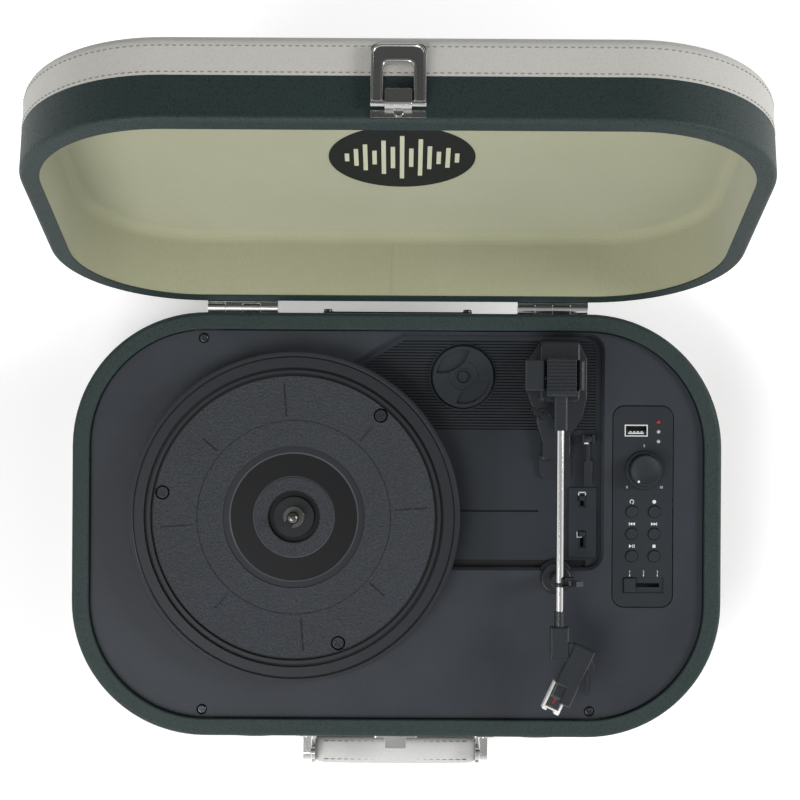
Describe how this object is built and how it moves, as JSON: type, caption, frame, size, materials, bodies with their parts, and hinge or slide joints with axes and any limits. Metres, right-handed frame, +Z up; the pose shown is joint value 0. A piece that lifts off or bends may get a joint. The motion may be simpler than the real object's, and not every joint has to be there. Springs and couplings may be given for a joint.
{
  "type": "suitcase record player",
  "caption": "Belt-driven record player in a rounded suitcase with an open hinged lid, tonearm, control panel, carrying handle and latch.",
  "frame": {"origin": "middle of the box around the whole player, on the floor under the feet", "axes": "+Z up, +Y toward the hinges and the open lid, +X to the right when facing the controls"},
  "size_m": [0.388, 0.3982, 0.3194],
  "materials": {
    "ply": "matte",
    "green_cover": "satin",
    "pale_binding": "satin",
    "foot_rubber": "matte",
    "charcoal_plastic": "matte",
    "dark_plastic": "matte",
    "platter_plastic": "matte",
    "black_screw": "satin",
    "steel": "satin",
    "belt_rubber": "matte",
    "brass": "satin",
    "bright_tube": "gloss",
    "black_gloss": "gloss",
    "red_plastic": "gloss",
    "white_plastic": "matte",
    "black_plastic": "matte",
    "panel_plastic": "matte",
    "board_green": "satin",
    "lamp": "gloss",
    "socket_metal": "satin",
    "black_metal": "satin",
    "nickel": "satin",
    "lining_cloth": "matte"
  },
  "bodies": {
    "base": {"base_frame": "ply", "base_cover": "green_cover", "base_binding": "pale_binding", "bottom_panel": "ply", "feet": "foot_rubber", "deck_plate": "charcoal_plastic", "case_screws": "black_screw", "mech_plate": "dark_plastic", "spindle": "steel", "belt": "belt_rubber", "motor": "steel", "arm_base": "dark_plastic", "arm_rest": "dark_plastic", "switch_bodies": "black_plastic", "control_panel": "panel_plastic", "control_board": "board_green", "leds": "lamp", "usb_socket": "steel", "main_board": "board_green", "rear_plate": "black_plastic", "rear_jacks": "socket_metal", "speakers": "black_metal", "speaker_grilles": "black_metal", "hinge_base_leaves": "nickel", "latch_keeper": "nickel", "handle_posts": "nickel"},
    "platter": {"platter": "platter_plastic", "drive_ring": "dark_plastic", "platter_screws": "black_screw"},
    "pulley": {"motor_pulley": "brass"},
    "adapter": {"adapter_45": "dark_plastic"},
    "arm_swing": {"arm_yoke": "dark_plastic"},
    "arm_lift": {"arm_block": "dark_plastic", "arm_tube": "bright_tube", "headshell": "dark_plastic", "cartridge": "black_gloss", "stylus": "red_plastic"},
    "guard": {"stylus_guard": "white_plastic"},
    "lift_bar": {"lift_bar": "steel"},
    "cue_lever": {"cue_lever": "dark_plastic"},
    "speed_knob": {"speed_knob": "black_plastic"},
    "autostop_knob": {"autostop_knob": "black_plastic"},
    "volume_knob": {"volume_knob": "black_plastic"},
    "mode_slider": {"mode_slider": "black_plastic"},
    "arm_clip": {"arm_clip": "dark_plastic"},
    "lid": {"lid_shell": "ply", "lid_cover": "green_cover", "lid_binding": "pale_binding", "lid_lining": "lining_cloth", "hinge_lid_leaves": "nickel", "latch_plate": "nickel"},
    "hasp": {"latch_hasp": "nickel"},
    "handle": {"handle_grip": "pale_binding", "handle_links": "nickel"},
    "button_1": {"button_1": "black_plastic"},
    "button_2": {"button_2": "black_plastic"},
    "button_3": {"button_3": "black_plastic"},
    "button_4": {"button_4": "black_plastic"},
    "button_5": {"button_5": "black_plastic"},
    "button_6": {"button_6": "black_plastic"}
  },
  "joints": [
    {"name": "lid_hinge", "type": "hinge", "parent": "base", "child": "lid", "pos_m": [0, 0.07844, 0.072], "axis": [-1, 0, 0], "range_deg": [-107.2, 0]},
    {"name": "platter_spin", "type": "hinge", "parent": "base", "child": "platter", "pos_m": [-0.0608, -0.04606, 0.085], "axis": [0, 0, 1], "continuous": true},
    {"name": "pulley_spin", "type": "hinge", "parent": "base", "child": "pulley", "pos_m": [-0.12968, -0.07818, 0.066], "axis": [0, 0, 1], "continuous": true},
    {"name": "tonearm_swing", "type": "hinge", "parent": "base", "child": "arm_swing", "pos_m": [0.0956, 0.03694, 0.099], "axis": [0, 0, -1], "range_deg": [0, 45]},
    {"name": "tonearm_lift", "type": "hinge", "parent": "arm_swing", "child": "arm_lift", "pos_m": [0.0956, 0.03694, 0.099], "axis": [-1, 0, 0], "range_deg": [0, 4]},
    {"name": "stylus_guard_slide", "type": "slide", "parent": "arm_lift", "child": "guard", "axis": [-0.4226, -0.9063, 0], "range_m": [0, 0.015]},
    {"name": "lift_bar_slide", "type": "slide", "parent": "base", "child": "lift_bar", "axis": [0, 0, 1], "range_m": [0, 0.00168]},
    {"name": "cue_lever_hinge", "type": "hinge", "parent": "base", "child": "cue_lever", "pos_m": [0.1145, 0.00094, 0.0691], "axis": [-1, 0, 0], "range_deg": [0, 60]},
    {"name": "adapter_lift", "type": "slide", "parent": "base", "child": "adapter", "axis": [0, 0, 1], "range_m": [0, 0.04]},
    {"name": "speed_switch", "type": "slide", "parent": "base", "child": "speed_knob", "axis": [0, -1, 0], "range_m": [0, 0.0066]},
    {"name": "autostop_switch", "type": "slide", "parent": "base", "child": "autostop_knob", "axis": [0, -1, 0], "range_m": [0, 0.0036]},
    {"name": "volume_turn", "type": "hinge", "parent": "base", "child": "volume_knob", "pos_m": [0.1481, -0.01766, 0.07], "axis": [0, 0, -1], "range_deg": [0, 280]},
    {"name": "button_1_press", "type": "slide", "parent": "base", "child": "button_1", "axis": [0, 0, -1], "range_m": [0, 0.001], "stiffness_N_per_m": 150, "springref_m": -0.0005},
    {"name": "button_2_press", "type": "slide", "parent": "base", "child": "button_2", "axis": [0, 0, -1], "range_m": [0, 0.001], "stiffness_N_per_m": 150, "springref_m": -0.0005},
    {"name": "button_3_press", "type": "slide", "parent": "base", "child": "button_3", "axis": [0, 0, -1], "range_m": [0, 0.001], "stiffness_N_per_m": 150, "springref_m": -0.0005},
    {"name": "button_4_press", "type": "slide", "parent": "base", "child": "button_4", "axis": [0, 0, -1], "range_m": [0, 0.001], "stiffness_N_per_m": 150, "springref_m": -0.0005},
    {"name": "button_5_press", "type": "slide", "parent": "base", "child": "button_5", "axis": [0, 0, -1], "range_m": [0, 0.001], "stiffness_N_per_m": 150, "springref_m": -0.0005},
    {"name": "button_6_press", "type": "slide", "parent": "base", "child": "button_6", "axis": [0, 0, -1], "range_m": [0, 0.001], "stiffness_N_per_m": 150, "springref_m": -0.0005},
    {"name": "mode_switch", "type": "slide", "parent": "base", "child": "mode_slider", "axis": [1, 0, 0], "range_m": [0, 0.0164]},
    {"name": "arm_clip_hinge", "type": "hinge", "parent": "base", "child": "arm_clip", "pos_m": [0.102, -0.08256, 0.10135], "axis": [0, -1, 0], "range_deg": [0, 120]},
    {"name": "hasp_hinge", "type": "hinge", "parent": "lid", "child": "hasp", "pos_m": [0, 0.16467, 0.31675], "axis": [1, 0, 0], "range_deg": [0, 178]},
    {"name": "handle_hinge", "type": "hinge", "parent": "base", "child": "handle", "pos_m": [0, -0.19006, 0.054], "axis": [-1, 0, 0], "range_deg": [0, 95]}
  ],
  "couplings": [
    {"joint": "pulley_spin", "follows": "platter_spin", "ratio": 16},
    {"joint": "cue_lever_hinge", "follows": "tonearm_lift", "ratio": 15},
    {"joint": "lift_bar_slide", "follows": "tonearm_lift", "m_per_rad": 0.024039}
  ]
}
